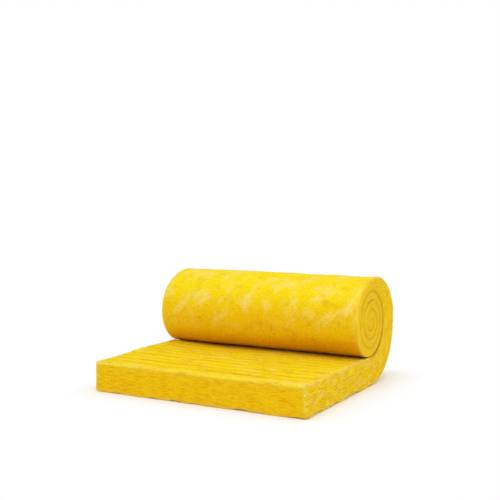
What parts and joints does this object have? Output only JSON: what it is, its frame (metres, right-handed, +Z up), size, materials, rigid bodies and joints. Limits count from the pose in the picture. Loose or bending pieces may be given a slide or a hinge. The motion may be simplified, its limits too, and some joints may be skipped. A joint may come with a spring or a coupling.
{
  "type": "insulation roll",
  "caption": "Glass wool insulation mat, partly unrolled: a thick flat run with a square cut end in front, the rest wound tight behind it.",
  "frame": {"origin": "on the floor, in the middle of the bounding box", "axes": "+X across the mat and along the roll, +Y from the cut end to the back of the roll, +Z up"},
  "size_m": [1.2, 1.133, 0.5733],
  "materials": {
    "glass_wool": "matte, fibrous"
  },
  "bodies": {
    "root": {"glass_wool_mat": "glass_wool"}
  },
  "joints": []
}
